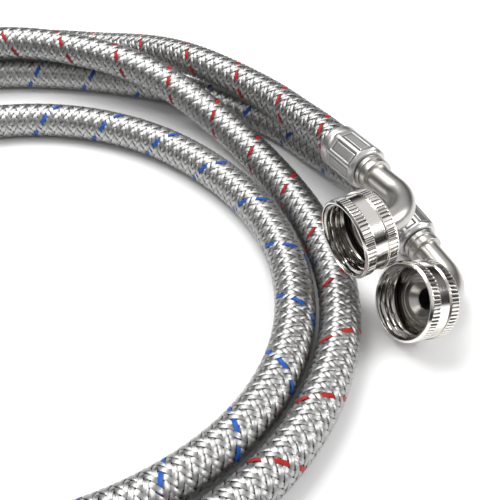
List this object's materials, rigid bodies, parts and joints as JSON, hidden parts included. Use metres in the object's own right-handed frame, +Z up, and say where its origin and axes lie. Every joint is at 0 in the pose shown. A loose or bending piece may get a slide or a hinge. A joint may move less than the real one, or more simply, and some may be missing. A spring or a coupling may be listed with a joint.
{
  "type": "braided supply hose pair",
  "caption": "Matched pair of stainless-braided water supply hoses, hot and cold, each with an elbow end, a straight end and knurled swivel nuts.",
  "frame": {"origin": "on the surface the hoses lie on, under the middle of the box round the two elbow ends, without the hoses and far ends", "axes": "+Z up from the surface; the elbow ends' hoses leave towards +Y and then -X; the nuts open towards -X and -Y"},
  "size_m": [0.3475, 0.3258, 0.0531],
  "materials": {
    "hot_braid": "bright stainless wire braid with one red tracer",
    "cold_braid": "bright stainless wire braid with one blue tracer",
    "liner": "matt black EPDM",
    "ferrule": "satin stainless, crimped",
    "tailpiece": "nickel plate, softly polished",
    "nut": "polished nickel plate, knurled bands",
    "slip_ring": "plain steel ring",
    "washer": "smooth black EPDM"
  },
  "bodies": {
    "lines": {"hot_liner": "liner", "hot_braid": "hot_braid", "hot_elbow_ferrule": "ferrule", "hot_elbow": "tailpiece", "hot_end_ferrule": "ferrule", "hot_end_tailpiece": "tailpiece", "hot_end_washer": "washer", "cold_liner": "liner", "cold_braid": "cold_braid", "cold_elbow_ferrule": "ferrule", "cold_elbow": "tailpiece", "cold_end_ferrule": "ferrule", "cold_end_tailpiece": "tailpiece", "cold_end_washer": "washer"},
    "hot_elbow_ring": {"hot_elbow_slip_ring": "slip_ring"},
    "hot_elbow_nut": {"hot_elbow_nut": "nut"},
    "cold_elbow_ring": {"cold_elbow_slip_ring": "slip_ring"},
    "cold_elbow_nut": {"cold_elbow_nut": "nut"},
    "hot_end_ring": {"hot_end_slip_ring": "slip_ring"},
    "hot_end_nut": {"hot_end_nut": "nut"},
    "cold_end_ring": {"cold_end_slip_ring": "slip_ring"},
    "cold_end_nut": {"cold_end_nut": "nut"}
  },
  "joints": [
    {"name": "hot_elbow_nut_play", "type": "slide", "parent": "lines", "child": "hot_elbow_ring", "axis": [0.8789, 0.4759, 0.033], "range_m": [0, 0.0015]},
    {"name": "hot_elbow_nut_turn", "type": "hinge", "parent": "hot_elbow_ring", "child": "hot_elbow_nut", "pos_m": [-0.02155, -0.02025, 0.0376], "axis": [0.8789, 0.4759, 0.033], "continuous": true},
    {"name": "cold_elbow_nut_play", "type": "slide", "parent": "lines", "child": "cold_elbow_ring", "axis": [0.8355, 0.4238, -0.3498], "range_m": [0, 0.0015]},
    {"name": "cold_elbow_nut_turn", "type": "hinge", "parent": "cold_elbow_ring", "child": "cold_elbow_nut", "pos_m": [0.0003, -0.0337, 0.0195], "axis": [0.8355, 0.4238, -0.3498], "continuous": true},
    {"name": "hot_end_nut_play", "type": "slide", "parent": "lines", "child": "hot_end_ring", "axis": [0.4301, 0.8902, 0.15], "range_m": [0, 0.0015]},
    {"name": "hot_end_nut_turn", "type": "hinge", "parent": "hot_end_ring", "child": "hot_end_nut", "pos_m": [-0.2669, 0.04816, 0.01501], "axis": [0.4301, 0.8902, 0.15], "continuous": true},
    {"name": "cold_end_nut_play", "type": "slide", "parent": "lines", "child": "cold_end_ring", "axis": [-0.7607, 0.6406, -0.1051], "range_m": [0, 0.0015]},
    {"name": "cold_end_nut_turn", "type": "hinge", "parent": "cold_end_ring", "child": "cold_end_nut", "pos_m": [-0.17056, -0.10138, 0.01683], "axis": [-0.7607, 0.6406, -0.1051], "continuous": true}
  ]
}
